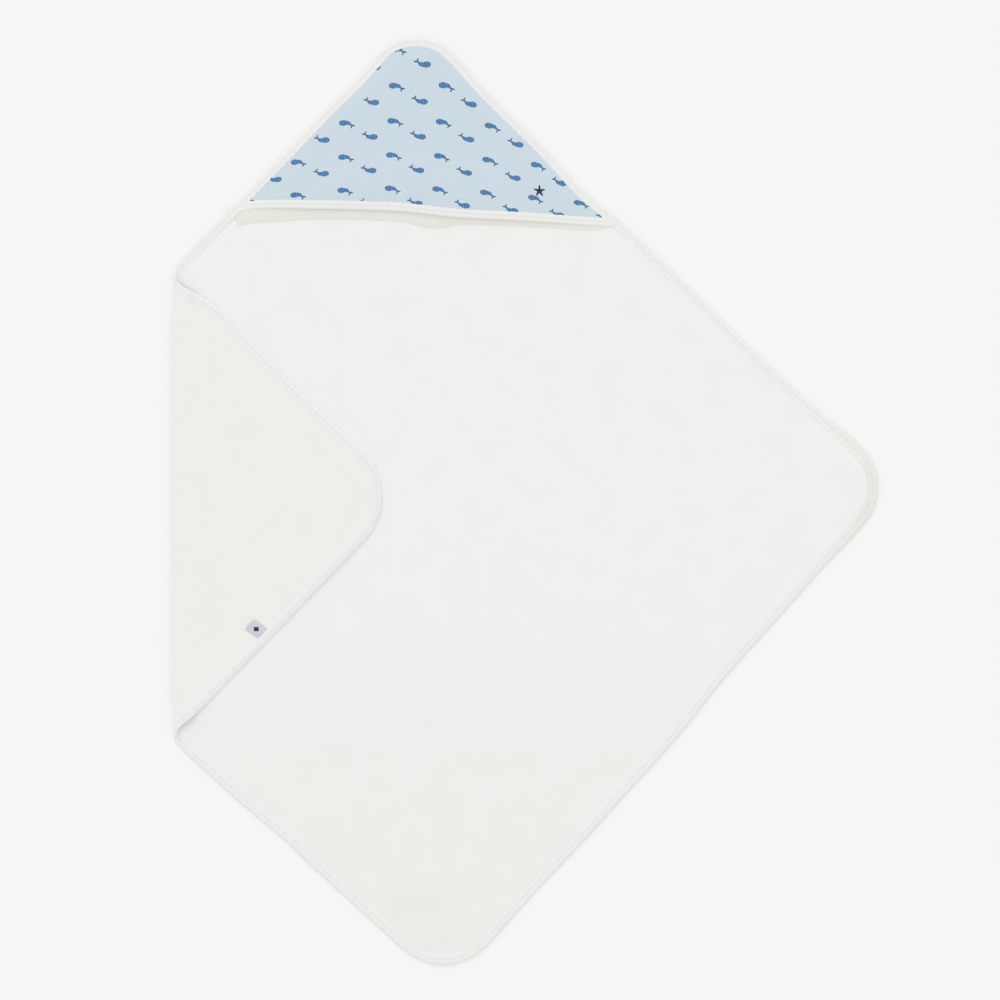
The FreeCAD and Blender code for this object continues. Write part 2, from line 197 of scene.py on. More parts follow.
# Creases of the folded corner: place, direction in degrees, length, width, height
CREASES = [
    ((-0.182, 0.018), -52, 0.016, 0.0036, 1.1),
    ((-0.200, -0.030), -78, 0.018, 0.0042, 1.2),
    ((-0.192, -0.004), 60, 0.010, 0.0040, 0.7),
    ((-0.240, 0.080), -46, 0.060, 0.0080, 0.5),
]
RIPPLES = [
    (21.0, 0.35, 0.0), (17.0, 2.10, 1.3), (33.0, 1.20, 4.1), (39.0, 2.65, 2.2), (55.0, 0.85, 5.0),
]


def ripple(flat):
    """A gentle unevenness between about -1 and 1, from waves that cross at odd angles."""
    total = np.zeros(len(flat))
    for wavenumber, direction, phase in RIPPLES:
        along = flat[:, 0] * math.cos(direction) + flat[:, 1] * math.sin(direction)
        total += np.sin(wavenumber * along + phase + 1.5 * np.sin(0.37 * wavenumber * along + direction))
    return total / len(RIPPLES)


def pulled(flat):
    """Plan positions with the edges' small bows and pulls."""
    moved = np.array(flat, float)
    for place, shift, reach in PULLS:
        near = bump(np.linalg.norm(flat - np.array(place), axis=1) / reach)
        moved = moved + near[:, None] * np.array(shift) * MM
    return moved


def round_centre(corner, before, after, radius):
    """Centre of a rounded corner, and the unit vectors from the corner to its neighbours."""
    into, out = unit(np.subtract(before, corner)), unit(np.subtract(after, corner))
    inwards = unit(into + out)
    return np.array(corner) + inwards * radius / math.sin(math.acos(into @ inwards)), into, out


def corner_inset(flat, corner, before, after, radius):
    """Distance in from the rounded edge near a corner, and the angle about the round's centre."""
    inset = np.minimum(line_distance(flat, before, corner), line_distance(flat, corner, after))
    centre, into, out = round_centre(corner, before, after, radius)
    from_centre = flat - centre
    in_round = np.all([from_centre @ into < 0, from_centre @ out < 0], axis=0)
    round_inset = radius - np.linalg.norm(from_centre, axis=1)
    return np.where(in_round, round_inset, inset), np.arctan2(from_centre[:, 1], from_centre[:, 0])


ROLL_WIDTH = 16 * MM
ROLL_HEIGHT = 3.6 * MM


def corner_roll(flat):
    """Height of the low ridge behind the right corner's edge, which slopes down to the table."""
    inset, angle = corner_inset(flat, RIGHT_CORNER, BOTTOM_CORNER, HOOD_CORNER, RIGHT_CORNER_RADIUS)
    profile = smooth_step(inset / ROLL_WIDTH) * (1 - smooth_step((inset - ROLL_WIDTH) / 0.030))
    return ROLL_HEIGHT * profile * bump((angle - 0.40) / 1.05)


def ridges(flat, listed):
    """Summed height of soft ridges, in millimetres."""
    total = np.zeros(len(flat))
    for place, degrees, length, width, rise in listed:
        angle = math.radians(degrees)
        across = flat - np.array(place)
        along = across[:, 0] * math.cos(angle) + across[:, 1] * math.sin(angle)
        aside = across[:, 1] * math.cos(angle) - across[:, 0] * math.sin(angle)
        total = total + rise * bump(along / length) * bump(aside / width)
    return total


HOOD_FROM_Y = 0.290
HOOD_SHARE_REACH = 0.030


def hood_share(flat):
    """1 under the hood, 0 over the rest of the towel."""
    return smooth_step((flat[:, 1] - HOOD_FROM_Y) / HOOD_SHARE_REACH)


def panel_height(flat):
    """Height of the cloth's middle above the table on the main panel, low and flat under the hood."""
    height = 0.28 + 0.22 * ripple(flat) + ridges(flat, WAVES)
    return CLOTH_Z + np.clip(height, 0, 0.75) * MM * (1 - hood_share(flat)) + corner_roll(flat)


FLAP_RIPPLE = 0.30 * MM
FOLD_WANDER = 0.6 * MM


def flap_ripple(flat):
    """Unevenness of the folded corner's height."""
    return FLAP_RIPPLE * ripple(flat * 1.7 + 0.31)


def flap_drift(past, flat):
    """Shift along the fold of what lies past its start: the tape is stiff and turns in a small loop."""
    over = np.maximum(past - FOLD_LENGTH, 0)
    upper = smooth_step((flat[:, 1] - 0.02) / 0.16)
    lower = smooth_step((-0.10 - flat[:, 1]) / 0.10)
    dip = -11.0 * MM * bump(over / 0.022)
    swell = 7.5 * MM * bump((over - 0.060) / 0.045)
    climb = 6.5 * MM * bump(over / 0.016)
    return (upper * (dip + swell) + lower * climb) * smooth_step(past / (FOLD_LENGTH + 3 * MM))


def lay(flat):
    """Place in space of points of the cut: flat on the table, round the fold, and back over the face."""
    flat = np.asarray(flat, float)
    across, up = flat[:, 0], flat[:, 1]
    past = FOLD_START_X - across
    turn = np.clip(past / FOLD_RADIUS, 0, math.pi)
    over = np.maximum(past - FOLD_LENGTH, 0)
    x = np.where(past < 0, across, FOLD_START_X - FOLD_RADIUS * np.sin(turn) + over)
    x = x + FOLD_WANDER * ripple(flat * [0, 1.3]) * bump(past / 0.02)
    near_fold = smooth_step(-past / 0.030)
    z = CLOTH_Z + (panel_height(flat) - CLOTH_Z) * near_fold
    rise = FOLD_RADIUS * (1 - np.cos(turn))
    settle = smooth_step(over / SETTLE_LENGTH)
    slack = 2 * FOLD_RADIUS + CLOTH_Z - FLAP_Z
    y = up + flap_drift(past, flat)
    z = z + rise - settle * slack + settle * flap_ripple(flat) + BLEND_SLOPE * settle * over
    shift = pulled(flat) - flat
    x, y = x + shift[:, 0], y + shift[:, 1]
    creased = settle * (over > 0)
    z = z + creased * ridges(np.stack([x, y], 1), CREASES) * MM
    return np.stack([x, y, z], 1)


def lay_with_normals(flat):
    """Places of points of the cut, and the unit normals there on the face's side."""
    reach = 0.05 * MM
    here = lay(flat)
    across = lay(flat + [reach, 0]) - lay(flat - [reach, 0])
    up = lay(flat + [0, reach]) - lay(flat - [0, reach])
    return here, unit(np.cross(across, up))


# ---- Meshes ----
def make_mesh(name, places, faces, flat=None, materials=()):
    """A smooth mesh object, with each point's place on the cut kept as the UV map 'cut'."""
    mesh = bpy.data.meshes.new(name)
    mesh.from_pydata([tuple(place) for place in places], [], [tuple(face) for face in faces])
    mesh.validate()
    mesh.polygons.foreach_set("use_smooth", [True] * len(mesh.polygons))
    if flat is not None:
        corners = np.empty(len(mesh.loops), int)
        mesh.loops.foreach_get("vertex_index", corners)
        layer = mesh.uv_layers.new(name="cut")
        layer.data.foreach_set("uv", np.asarray(flat, np.float32)[corners].ravel())
    for material in materials:
        mesh.materials.append(material)
    mesh.update()
    obj = bpy.data.objects.new(name, mesh)
    bpy.context.scene.collection.objects.link(obj)
    return obj


def thicken(obj, thickness):
    """Give a sheet its thickness, its far side in the second material and its rim in the third."""
    mesh = obj.data
    uses = np.zeros(len(mesh.edges), int)
    np.add.at(uses, [loop.edge_index for loop in mesh.loops], 1)
    for edge, count in zip(mesh.edges, uses):
        edge.use_edge_sharp = bool(count == 1)
    solid = obj.modifiers.new("thickness", "SOLIDIFY")
    solid.thickness = thickness
    solid.offset = 0
    solid.material_offset = 1
    solid.material_offset_rim = 2
    return obj


GRID_MARGIN = 0.4


def fill_outline(boundary, across_lines, up_lines, spacing):
    """Points and triangles that fill a closed boundary, with a grid inside it.

    Grid points nearer to the boundary than a share of the spacing are left out.
    """
    grid = np.array([(x, y) for x in across_lines for y in up_lines])
    start, end = boundary, np.roll(boundary, -1, axis=0)
    inside = np.zeros(len(grid), bool)
    nearest = np.full(len(grid), np.inf)
    for first, second in zip(start, end):
        crosses = (first[1] > grid[:, 1]) != (second[1] > grid[:, 1])
        if first[1] != second[1]:
            at = first[0] + (grid[:, 1] - first[1]) * (second[0] - first[0]) / (second[1] - first[1])
            inside ^= crosses & (grid[:, 0] < at)
        side = second - first
        share = np.clip(((grid - first) @ side) / (side @ side), 0, 1)
        nearest = np.minimum(nearest, np.linalg.norm(grid - first - share[:, None] * side, axis=1))
    kept = grid[inside & (nearest > GRID_MARGIN * spacing)]
    points = [Vector(point) for point in np.concatenate([boundary, kept])]
    count = len(boundary)
    edges = [(index, (index + 1) % count) for index in range(count)]
    made = delaunay_2d_cdt(points, edges, [], 1, 1e-7)
    return np.array([tuple(point) for point in made[0]]), made[2]


def tube_faces(count, around):
    """Faces of a tube with flat ends through a count of rings, each of so many points."""
    last = (count - 1) * around
    faces = [(start + spot, start + around + spot,
              start + around + (spot + 1) % around, start + (spot + 1) % around)
             for start in range(0, last, around) for spot in range(around)]
    return faces + [tuple(range(around)), tuple(last + spot for spot in reversed(range(around)))]


def sweep(name, rings, flat, material):
    """A tube with flat ends through rings of points: stations x ring x 3."""
    count, around = rings.shape[:2]
    tube = make_mesh(name, rings.reshape(-1, 3), tube_faces(count, around), flat, [material])
    for edge in tube.data.edges:
        first, second = edge.vertices
        edge.use_edge_sharp = max(first, second) < around or min(first, second) >= (count - 1) * around
    return tube


# ---- Materials ----
class Shade:
    """A material's nodes, built from small expressions.  Lengths are millimetres on the cut."""

    def __init__(self, name, roughness=0.9, sheen=0.0, sheen_roughness=0.5, specular=0.2):
        self.material = bpy.data.materials.new(name)
        self.material.use_nodes = True
        self.tree = self.material.node_tree
        self.shader = self.tree.nodes["Principled BSDF"]
        for key, value in {"Roughness": roughness, "Sheen Weight": sheen,
                           "Sheen Roughness": sheen_roughness, "Specular IOR Level": specular}.items():
            self.shader.inputs[key].default_value = value
        source = self.tree.nodes.new("ShaderNodeUVMap")
        source.uv_map = "cut"
        self.place = self.vector("SCALE", source.outputs[0], scale=1000.0)

    def node(self, kind, inputs=(), **settings):
        """A node with its settings, and its inputs linked or set by index or name."""
        made = self.tree.nodes.new(kind)
        for key, value in settings.items():
            setattr(made, key, value)
        for key, value in dict(inputs).items():
            if isinstance(value, bpy.types.NodeSocket):
                self.tree.links.new(value, made.inputs[key])
            else:
                made.inputs[key].default_value = value
        return made

    def math(self, operation, first, second=0.0, third=0.0):
        """One arithmetic step."""
        return self.node("ShaderNodeMath", {0: first, 1: second, 2: third}, operation=operation).outputs[0]

    def plus(self, first, second):
        """The sum of two values."""
        return self.math("ADD", first, second)

    def minus(self, first, second):
        """The first value less the second."""
        return self.math("SUBTRACT", first, second)

    def times(self, first, second):
        """The product of two values."""
        return self.math("MULTIPLY", first, second)

    def total(self, *parts):
        """The sum of values, each times its weight."""
        whole = None
        for value, weight in parts:
            part = self.times(value, weight)
            whole = part if whole is None else self.plus(whole, part)
        return whole

    def vector(self, operation, first, second=(0, 0, 0), scale=1.0):
        """One vector step."""
        made = self.node("ShaderNodeVectorMath", {0: first, 1: second}, operation=operation)
        if operation == "SCALE":
            made.inputs["Scale"].default_value = scale
        return made.outputs[0]

    def turned(self, degrees, offset=(0, 0, 0), stretch=(1, 1, 1)):
        """The place on the cut, shifted, turned and stretched."""
        made = self.node("ShaderNodeMapping", {"Vector": self.place, "Location": offset,
                                               "Rotation": (0, 0, math.radians(degrees)),
                                               "Scale": stretch})
        return made.outputs[0]

    def noise(self, size, detail=2.0, place=None, roughness=0.5):
        """Noise of a feature size, from 0 to 1."""
        made = self.node("ShaderNodeTexNoise", {"Vector": place or self.place, "Scale": 1.0 / size,
                                                "Detail": detail, "Roughness": roughness})
        return made.outputs[0]

    def cells(self, size, place=None, randomness=1.0):
        """Distance to the nearest of scattered points of a spacing."""
        made = self.node("ShaderNodeTexVoronoi", {"Vector": place or self.place, "Scale": 1.0 / size,
                                                  "Randomness": randomness})
        return made.outputs[0]

    def stripes(self, period, place=None, direction="X", distortion=0.0):
        """Soft stripes across a direction, from 0 to 1."""
        made = self.node("ShaderNodeTexWave", {"Vector": place or self.place,
                                               "Scale": 2 * math.pi / (20.0 * period),
                                               "Distortion": distortion, "Detail": 1.0},
                         bands_direction=direction)
        return made.outputs[1]

    def mix(self, share, first, second):
        """Colour between two, by a share."""
        made = self.node("ShaderNodeMix", {"Factor": share, 6: first, 7: second}, data_type="RGBA")
        return made.outputs[2]

    def ramp(self, value, low, high, to_low=0.0, to_high=1.0):
        """The value carried from one range to another, smoothly and clamped."""
        made = self.node("ShaderNodeMapRange", {"Value": value, 1: low, 2: high, 3: to_low, 4: to_high},
                         interpolation_type="SMOOTHSTEP")
        return made.outputs[0]

    def paint(self, colour):
        """Link the surface's colour."""
        self.tree.links.new(colour, self.shader.inputs["Base Color"])

    def relief(self, *layers):
        """Stack bumps, each (height from 0 to 1, depth in millimetres, strength)."""
        normal = None
        for height, depth, strength in layers:
            inputs = {"Height": height, "Distance": depth * MM, "Strength": strength}
            if normal is not None:
                inputs["Normal"] = normal
            normal = self.node("ShaderNodeBump", inputs).outputs[0]
        self.tree.links.new(normal, self.shader.inputs["Normal"])


# Each colour's darker and lighter tone
WHITE_FACE = ((0.874, 0.873, 0.858, 1), (0.892, 0.891, 0.878, 1))
CREAM_FACE = ((0.848, 0.838, 0.808, 1), (0.870, 0.862, 0.836, 1))
WHITE_BACK = ((0.861, 0.849, 0.814, 1), (0.887, 0.877, 0.847, 1))
# Painted shade: the lining's darker cream tone, for its strip below the hem
SHADED_LINING = ((0.805, 0.802, 0.736, 1), (0.829, 0.828, 0.766, 1))
WHITE_TAPE = ((0.862, 0.857, 0.838, 1), (0.893, 0.890, 0.874, 1))
# Painted shade: the tape's darker, warmer tone for the right corner
SHADED_CORNER_TAPE = ((0.832, 0.828, 0.772, 1), (0.860, 0.857, 0.804, 1))
SATIN = ((0.56, 0.56, 0.64, 1), (0.70, 0.69, 0.77, 1))
WHITE_YARN = ((0.78, 0.77, 0.75, 1), (0.88, 0.875, 0.86, 1))
NAVY_YARN = ((0.012, 0.022, 0.050, 1), (0.030, 0.055, 0.120, 1))


def brushed_face():
    """The towel's smooth side: short brushed pile, cloudy where the pile lies different ways."""
    shade = Shade("brushed_face", roughness=0.95, sheen=0.25, sheen_roughness=0.6, specular=0.1)
    cloud = shade.noise(38.0, 3.0)
    pile = shade.noise(2.4, 3.0, roughness=0.6)
    fibre = shade.noise(0.7, 2.0)
    tone = shade.ramp(shade.total((cloud, 0.6), (pile, 0.4)), 0.30, 0.70)
    white = shade.mix(tone, *WHITE_FACE)
    cream = shade.mix(tone, *CREAM_FACE)
    # Towards the bottom of the cut the face is mixed to a darker, creamier tone.
    up = shade.node("ShaderNodeSeparateXYZ", {0: shade.place}).outputs[1]
    shade.paint(shade.mix(shade.ramp(up, 60.0, -560.0), white, cream))
    shade.relief((shade.noise(9.0, 2.0), 0.35, 0.5), (pile, 0.25, 0.6), (fibre, 0.10, 0.5))
    return shade.material


def looped_terry(name, dark, light):
    """Looped terry: small loops in loose rows, deeper between them, with painted shade darkening the gaps.
    """
    shade = Shade(name, roughness=0.97, sheen=0.35, sheen_roughness=0.55, specular=0.08)
    stirred = shade.vector("ADD", shade.turned(4.0), shade.node(
        "ShaderNodeTexNoise", {"Vector": shade.place, "Scale": 0.25, "Detail": 2.0}).outputs[1])
    loops = shade.cells(1.7, stirred, 0.85)
    patches = shade.noise(11.0, 3.0, roughness=0.6)
    cloud = shade.noise(45.0, 2.0)
    # Painted shade: the colour darkens in the gaps between the loops.
    gap_shade = shade.ramp(loops, 0.25, 0.75)
    tone = shade.total((gap_shade, 0.45), (patches, 0.55), (shade.minus(cloud, 0.5), 0.5))
    shade.paint(shade.mix(shade.ramp(tone, 0.25, 0.80), light, dark))
    height = shade.minus(1.0, loops)
    shade.relief((patches, 0.5, 0.35), (height, 0.45, 0.35), (shade.noise(0.6, 2.0), 0.1, 0.3))
    return shade.material


def knit_tape():
    """The edge tape: a fine ribbed knit, pulled across the edge, with painted warm shade at the right
    corner.
    """
    shade = Shade("knit_tape", roughness=0.85, sheen=0.2, sheen_roughness=0.5, specular=0.2)
    ribs = shade.stripes(0.9, direction="X", distortion=0.6)
    pull = shade.noise(5.0, 2.0, shade.turned(0, stretch=(1, 0.25, 1)))
    tone = shade.ramp(shade.total((ribs, 0.3), (pull, 0.7)), 0.2, 0.8)
    white = shade.mix(tone, *WHITE_TAPE)
    # Painted shade: near the right corner the tape is mixed to a darker, warmer tone that stands in for the
    # shade of its sloping edge.
    cream = shade.mix(tone, *SHADED_CORNER_TAPE)
    spot = shade.node("ShaderNodeTexCoord").outputs["Object"]
    across = shade.node("ShaderNodeSeparateXYZ", {0: spot}).outputs[0]
    shade.paint(shade.mix(shade.ramp(across, 0.315, 0.385), white, cream))
    shade.relief((pull, 0.6, 0.5), (ribs, 0.12, 0.6), (shade.noise(0.4, 2.0), 0.05, 0.5))
    return shade.material


def sewing_thread(name, dark, light, roughness=0.6):
    """Twisted thread, its plies slanting round it."""
    shade = Shade(name, roughness=roughness, sheen=0.3, sheen_roughness=0.4, specular=0.35)
    plies = shade.stripes(0.55, shade.turned(38.0))
    shade.paint(shade.mix(shade.ramp(plies, 0.1, 0.9), dark, light))
    shade.relief((plies, 0.12, 0.8))
    return shade.material


# The print's lattice on the hood: one whale at each point, every other row turned half round
PRINT_ORIGIN = (-142.1, 416.3, 0)
PRINT_TURN = -1.7
PRINT_PITCH = 52.9
PRINT_ROW = 19.5
PRINT_BASE = ((0.608, 0.712, 0.782, 1), (0.640, 0.732, 0.795, 1))
PRINT_BODY = (0.048, 0.165, 0.340, 1)
PRINT_LINES = (0.120, 0.290, 0.510, 1)
PRINT_TAIL = (0.060, 0.150, 0.300, 1)

# The whale's parts: centre, half length, half width and tilt, in millimetres and degrees
WHALE = [
    ("body", (-3.7, -0.9), 4.6, 3.2, -4),
    ("body", (1.2, -1.2), 3.9, 2.15, -22),
    ("tail", (4.6, -3.4), 2.7, 0.95, -40),
    ("tail", (7.5, -4.4), 2.0, 0.85, -14),
    ("tail", (5.6, -6.0), 1.9, 0.80, 62),
]


def print_place(shade):
    """Place on the print's lattice, in millimetres: bent as the cloth lies on the hood, then levelled."""
    across, up = shade.node("ShaderNodeSeparateXYZ", {0: shade.place}).outputs[:2]
    over = shade.math("MULTIPLY_ADD", across, 1 / 150.0, 70 / 150.0)
    high = shade.math("MULTIPLY_ADD", up, 1 / 100.0, -4.0)
    drift = shade.math("MULTIPLY_ADD", high, shade.math("MULTIPLY_ADD", over, -4.6, -2.8),
                       shade.ramp(over, 0.0, 0.5, 0.0, -1.6))
    curved = shade.math("MINIMUM", over, 0.38)
    arch = shade.math("MULTIPLY_ADD", over, 7.0, shade.times(curved, shade.times(curved, 12.7)))
    rise = shade.times(high, shade.math("MULTIPLY_ADD", high, -3.85, 3.45))
    bent = shade.node("ShaderNodeCombineXYZ", {0: drift, 1: shade.plus(arch, rise)}).outputs[0]
    to_origin = shade.vector("SUBTRACT", shade.vector("ADD", shade.place, bent), PRINT_ORIGIN)
    level = shade.node("ShaderNodeVectorRotate", {"Vector": to_origin, "Angle": math.radians(-PRINT_TURN)},
                       rotation_type="Z_AXIS").outputs[0]
    return shade.node("ShaderNodeSeparateXYZ", {0: level}).outputs[:2]


def whale_place(shade):
    """Place about the nearest whale's middle, turned half round in every other row."""
    across, up = print_place(shade)
    row = shade.math("FLOOR", shade.plus(shade.math("DIVIDE", up, PRINT_ROW), 0.5))
    odd = shade.math("FLOORED_MODULO", row, 2.0)
    shifted = shade.plus(across, shade.times(odd, PRINT_PITCH / 2))
    column = shade.math("FLOOR", shade.plus(shade.math("DIVIDE", shifted, PRINT_PITCH), 0.5))
    facing = shade.minus(1.0, shade.times(odd, 2.0))
    return (shade.times(shade.minus(shifted, shade.times(column, PRINT_PITCH)), facing),
            shade.times(shade.minus(up, shade.times(row, PRINT_ROW)), facing))


def oval(shade, across, up, centre, half_length, half_width, tilt):
    """Below 1 inside an oval."""
    cosine, sine = math.cos(math.radians(tilt)), math.sin(math.radians(tilt))
    from_x, from_y = shade.minus(across, centre[0]), shade.minus(up, centre[1])
    along = shade.plus(shade.times(from_x, cosine / half_length), shade.times(from_y, sine / half_length))
    aside = shade.minus(shade.times(from_y, cosine / half_width), shade.times(from_x, sine / half_width))
    return shade.math("SQRT", shade.plus(shade.times(along, along), shade.times(aside, aside)))


def printed_knit():
    """The hood's pale blue knit with small whales in staggered rows."""
    shade = Shade("printed_knit", roughness=0.85, sheen=0.15, sheen_roughness=0.5, specular=0.2)
    across, up = whale_place(shade)
    inside = {}
    for part, *shape in WHALE:
        distance = oval(shade, across, up, *shape)
        if part in inside:
            distance = shade.math("SMOOTH_MIN", inside[part], distance, 0.25)
        inside[part] = distance
    slant = shade.node("ShaderNodeCombineXYZ", {0: shade.math("MULTIPLY_ADD", up, 0.25, across), 1: up})
    belly_lines = shade.stripes(2.5, slant.outputs[0], distortion=0.3)
    ink_edge = shade.times(shade.minus(shade.noise(0.5, 2.0), 0.5), 0.25)
    notched = shade.math("MULTIPLY_ADD", belly_lines, 0.07, inside["body"])
    body = shade.ramp(shade.plus(notched, ink_edge), 1.12, 0.98)
    tail = shade.ramp(shade.plus(inside["tail"], ink_edge), 1.10, 0.90)

    base = shade.mix(shade.noise(24.0, 2.0), *PRINT_BASE)
    lined = shade.mix(shade.ramp(belly_lines, 0.25, 0.85), PRINT_BODY, PRINT_LINES)
    shade.paint(shade.mix(body, shade.mix(tail, base, PRINT_TAIL), lined))

    wales = shade.stripes(1.1, direction="X", distortion=0.5)
    courses = shade.stripes(0.8, direction="Y", distortion=0.5)
    knit = shade.times(wales, courses)
    shade.relief((shade.noise(14.0, 2.0), 0.5, 0.35), (knit, 0.15, 0.6), (shade.noise(0.4, 1.0), 0.05, 0.4))
    return shade.material


def satin_label():
    """The label's woven satin ribbon."""
    shade = Shade("satin_label", roughness=0.45, sheen=0.2, sheen_roughness=0.3, specular=0.4)
    warp = shade.stripes(0.28, direction="X")
    twill = shade.stripes(0.5, shade.turned(30.0), distortion=0.3)
    tone = shade.total((warp, 0.5), (twill, 0.5), (shade.noise(4.0), 0.5))
    shade.paint(shade.mix(shade.ramp(tone, 0.2, 1.1), *SATIN))
    shade.relief((warp, 0.05, 0.6), (twill, 0.05, 0.5))
    return shade.material


FACE = brushed_face()
BACK = looped_terry("terry_back", *WHITE_BACK)
LINING = looped_terry("hood_terry", *SHADED_LINING)
TAPE = knit_tape()
PRINT = printed_knit()
LABEL = satin_label()
WHITE_THREAD = sewing_thread("white_thread", *WHITE_YARN)
NAVY_THREAD = sewing_thread("navy_thread", *NAVY_YARN, 0.5)


# ---- The towel's cloth ----
CLOTH_GRID = 4.0 * MM
FOLD_GRID = 0.8 * MM
FOLD_GRID_REACH = 2 * MM


def towel_cloth():
    """One sheet from edge to edge, folded over at the left."""
    points, inwards = edge_path(CUT_CORNERS, CLOTH_GRID)
    boundary = points + inwards * CLOTH_EDGE_INSET
    low, high = boundary.min(0), boundary.max(0)
    fold_low = FOLD_START_X - FOLD_LENGTH - FOLD_GRID_REACH
    fold_high = FOLD_START_X + FOLD_GRID_REACH
    across = np.concatenate([
        np.arange(low[0], fold_low, CLOTH_GRID),
        np.arange(fold_low, fold_high, FOLD_GRID),
        np.arange(fold_high, high[0], CLOTH_GRID),
    ])
    up = np.arange(low[1], high[1], CLOTH_GRID)
    flat, faces = fill_outline(boundary, across, up, CLOTH_GRID)
    cloth = make_mesh("towel_cloth", lay(flat), faces, flat, [FACE, BACK, BACK])
    thicken(cloth, CLOTH_THICKNESS)
    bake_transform(cloth)
    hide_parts("towel_panel", "corner_flap_panel")
    return cloth


# ---- Edge tape ----
TAPE_STEP = 1.5 * MM
STITCH_PITCH = 2.9 * MM
STITCH_LENGTH = 2.3 * MM
THREAD_RADIUS = 0.27 * MM

# Upper half of the tape's section: distance in from the edge and height, in millimetres
TAPE_SECTION = [
    (0.0, 0.0), (0.12, 0.50), (0.50, 0.95), (1.3, 1.32), (2.6, 1.50), (4.0, 1.42), (4.7, 1.26),
    (5.0, 1.20), (5.3, 1.26), (6.0, 1.42), (7.2, 1.50), (8.6, 1.47), (9.6, 1.30), (10.0, 1.08),
]
GROOVE_IN = 5.0 * MM
GROOVE_HEIGHT = 1.20 * MM


def section_points():
    """The whole section, upper half and lower: distance in, height and length round it, in metres."""
    section = TAPE_SECTION + [(distance, -height) for distance, height in reversed(TAPE_SECTION[1:])]
    listed, girth, before = [], 0.0, section[0]
    for point in section:
        girth += math.dist(point, before) * MM
        before = point
        listed.append((point[0] * MM, point[1] * MM, girth))
    return listed


SECTION_POINTS = section_points()


def tape_tube(name, along, place_at):
    """A tape whose section follows stations along an edge, placed by its distance in and height."""
    rings = [place_at(distance, height) for distance, height, _ in SECTION_POINTS]
    flats = [np.stack([along, np.full(len(along), girth)], 1) for _, _, girth in SECTION_POINTS]
    return sweep(name, np.stack(rings, 1), np.stack(flats, 1).reshape(-1, 2), TAPE)


def between(wanted, along, rows):
    """Rows of a table at wanted distances along a path."""
    return np.stack([np.interp(wanted, along, column) for column in rows.T], 1)


# Where the tape lies wide open at the right corner, how much wider, and how far along the edge
TURNED_CORNER = np.array([0.375, 0.020])
TURNED_EXTRA = 0.35
TURNED_REACH = 0.060
HOOD_TAPE_EXTRA = 1.0 * MM


def tape_offset(flat_edge, along, distance, height):
    """Distance and height of a line of the tape's section at each station, with its small puckers."""
    pucker = np.sin(2 * math.pi * along / (7.3 * MM) + 2.0 * np.sin(along / 0.031))
    slow = np.sin(along / 0.047 + 1.3 * np.sin(along / 0.083))
    inner = smooth_step((distance / MM - 5) / 5)
    wide = TURNED_EXTRA * bump(np.linalg.norm(flat_edge - TURNED_CORNER, axis=1) / TURNED_REACH)
    out = distance * (1 + wide) + (0.22 * inner * pucker + 0.20 * inner * slow) * MM
    lift = height * (1 + 0.07 * pucker * np.sign(height) + 0.05 * slow)
    over_hood = hood_share(flat_edge) * (height > 0) * smooth_step(distance / (2 * MM))
    return out, lift + HOOD_TAPE_EXTRA * over_hood


def edge_stations():
    """The edge's points, inward vectors and lengths along, starting at the lower end of the fold."""
    points, inwards = edge_path(CUT_CORNERS, TAPE_STEP)
    first = next(index for index in range(len(points))
                 if points[index - 1, 0] < FOLD_START_X <= points[index, 0])
    points, inwards = np.roll(points, -first, axis=0), np.roll(inwards, -first, axis=0)
    steps = np.linalg.norm(np.diff(points, axis=0), axis=1)
    return points, inwards, np.concatenate([[0], np.cumsum(steps)])


EDGE_POINTS, EDGE_INWARDS, EDGE_ALONG = edge_stations()
EDGE_LENGTH = EDGE_ALONG[-1] + np.linalg.norm(EDGE_POINTS[0] - EDGE_POINTS[-1])
WRAP_REACH = 14 * MM


EDGE_LIFT = 0.05 * MM


def edge_lift(flat):
    """How far the thicker tape lifts the edge from the table."""
    return EDGE_LIFT * smooth_step((flat[:, 0] - FOLD_START_X) / (20 * MM))


LIP_WIDTH = 3.6 * MM
LIP_FALL = 1.0 * MM
LIP_FALL_BY_FOLD = 0.95 * MM


def lip_droop(flat, distance):
    """How far the outer lip of the turned corner's tape settles onto the towel."""
    over = np.maximum(FOLD_START_X - flat[:, 0] - FOLD_LENGTH, 0)
    on_flap = smooth_step((over - WRAP_REACH) / (10 * MM))
    by_fold = 1 - smooth_step((over - 24 * MM) / (22 * MM))
    fall = LIP_FALL + LIP_FALL_BY_FOLD * by_fold + BLEND_SLOPE * over
    return fall * on_flap * (1 - smooth_step(distance / LIP_WIDTH))


def tape_piece(name, chosen):
    """A stretch of the edge tape, over chosen stations of the edge."""
    points, inwards, along = EDGE_POINTS[chosen], EDGE_INWARDS[chosen], EDGE_ALONG[chosen]

    def place_at(distance, height):
        out, lift = tape_offset(points, along, distance, height)
        places, normals = lay_with_normals(points + inwards * out[:, None])
        base = edge_lift(points) - lip_droop(points, distance)
        return places + normals * lift[:, None] + base[:, None] * [0, 0, 1]

    return tape_tube(name, along, place_at)


# A stitch's rings: share of its length from its middle, and share of its radius
STITCH_RINGS = [(-0.5, 0.45), (-0.32, 0.95), (0.0, 1.0), (0.32, 0.95), (0.5, 0.45)]
STITCH_SIDES = 6


